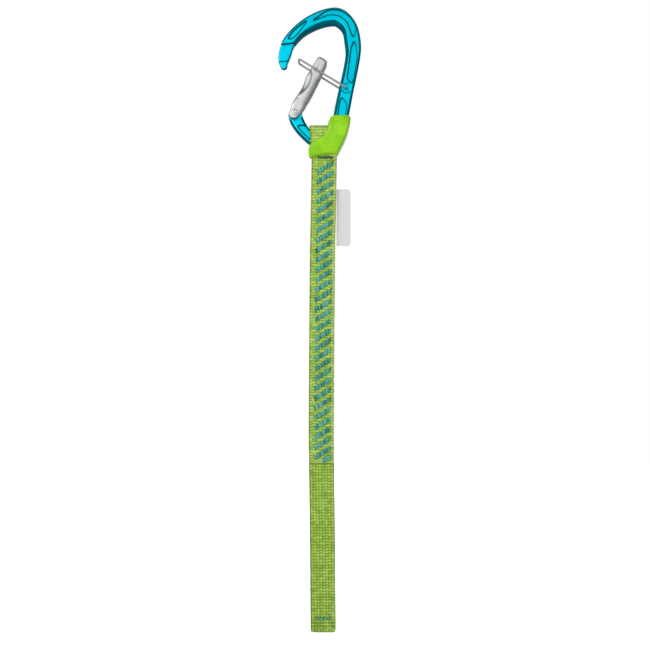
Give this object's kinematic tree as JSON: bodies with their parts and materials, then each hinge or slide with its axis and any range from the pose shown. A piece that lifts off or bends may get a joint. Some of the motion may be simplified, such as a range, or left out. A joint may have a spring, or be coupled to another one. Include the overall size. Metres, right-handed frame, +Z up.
{
  "type": "long semi-rigid quickdraw",
  "caption": "Long stiff climbing draw: forged carabiner with its gate held open by a wire bail, rubber keeper, and a sewn webbing sling ending in an open loop.",
  "frame": {"origin": "inside of the carabiner's crown, where it sits on an anchor, in the middle plane", "axes": "+X across the carabiner away from the gate, +Y through its thickness away from the front face, +Z up from the sling towards the crown"},
  "size_m": [0.058, 0.0164, 0.4371],
  "materials": {
    "anodised_frame": "satin blue anodised, darker on the machined edges",
    "gate_alloy": "satin natural alloy, fine brushing along the gate",
    "steel": "drawn stainless wire and turned pins",
    "webbing": "tight green weave with darker gaps between ribs",
    "keeper_rubber": "matt moulded lime rubber",
    "dark_thread": "dark blue sewing thread",
    "thread": "teal sewing thread in close zigzags",
    "insert_plastic": "plain extruded strip",
    "label_cloth": "thin white coated label cloth, blank"
  },
  "bodies": {
    "carabiner": {"carabiner_frame": "anodised_frame", "gate_rivet": "steel", "sling_top_loop": "webbing", "rubber_keeper": "keeper_rubber", "top_bartack": "dark_thread"},
    "gate": {"gate_body": "gate_alloy", "gate_spring": "steel"},
    "plunger": {"gate_plunger": "steel"},
    "bail": {"wire_bail": "steel"},
    "sling": {"webbing_sling": "webbing", "sling_stiffener": "insert_plastic", "front_bartacks": "thread", "back_bartacks": "thread", "lower_bartack": "thread"},
    "label": {"label_tag": "label_cloth"}
  },
  "joints": [
    {"name": "gate_swing", "type": "hinge", "parent": "carabiner", "child": "gate", "pos_m": [-0.0276, 0, -0.0615], "axis": [0, 1, 0], "range_deg": [-38, 8], "stiffness_Nm_per_rad": 0.02, "springref_deg": -38},
    {"name": "plunger_slide", "type": "slide", "parent": "gate", "child": "plunger", "axis": [0.4695, 0, 0.8829], "range_m": [-0.0011, 0.0003], "deforming": ["gate_spring"]},
    {"name": "bail_swing", "type": "hinge", "parent": "carabiner", "child": "bail", "pos_m": [0.0083, 0, -0.0452], "axis": [0, 1, 0], "range_deg": [-11, 50]},
    {"name": "sling_flex", "type": "hinge", "parent": "carabiner", "child": "sling", "pos_m": [-0.0072, 0, -0.096], "axis": [1, 0, 0], "range_deg": [-25, 25], "stiffness_Nm_per_rad": 0.1},
    {"name": "label_flap", "type": "hinge", "parent": "sling", "child": "label", "pos_m": [0.00175, 0, -0.134], "axis": [0, 0, 1], "range_deg": [-70, 70]}
  ],
  "couplings": [
    {"joint": "plunger_slide", "follows": "gate_swing", "m_per_rad": 0.00156},
    {"joint": "bail_swing", "follows": "gate_swing", "ratio": -1.3}
  ]
}
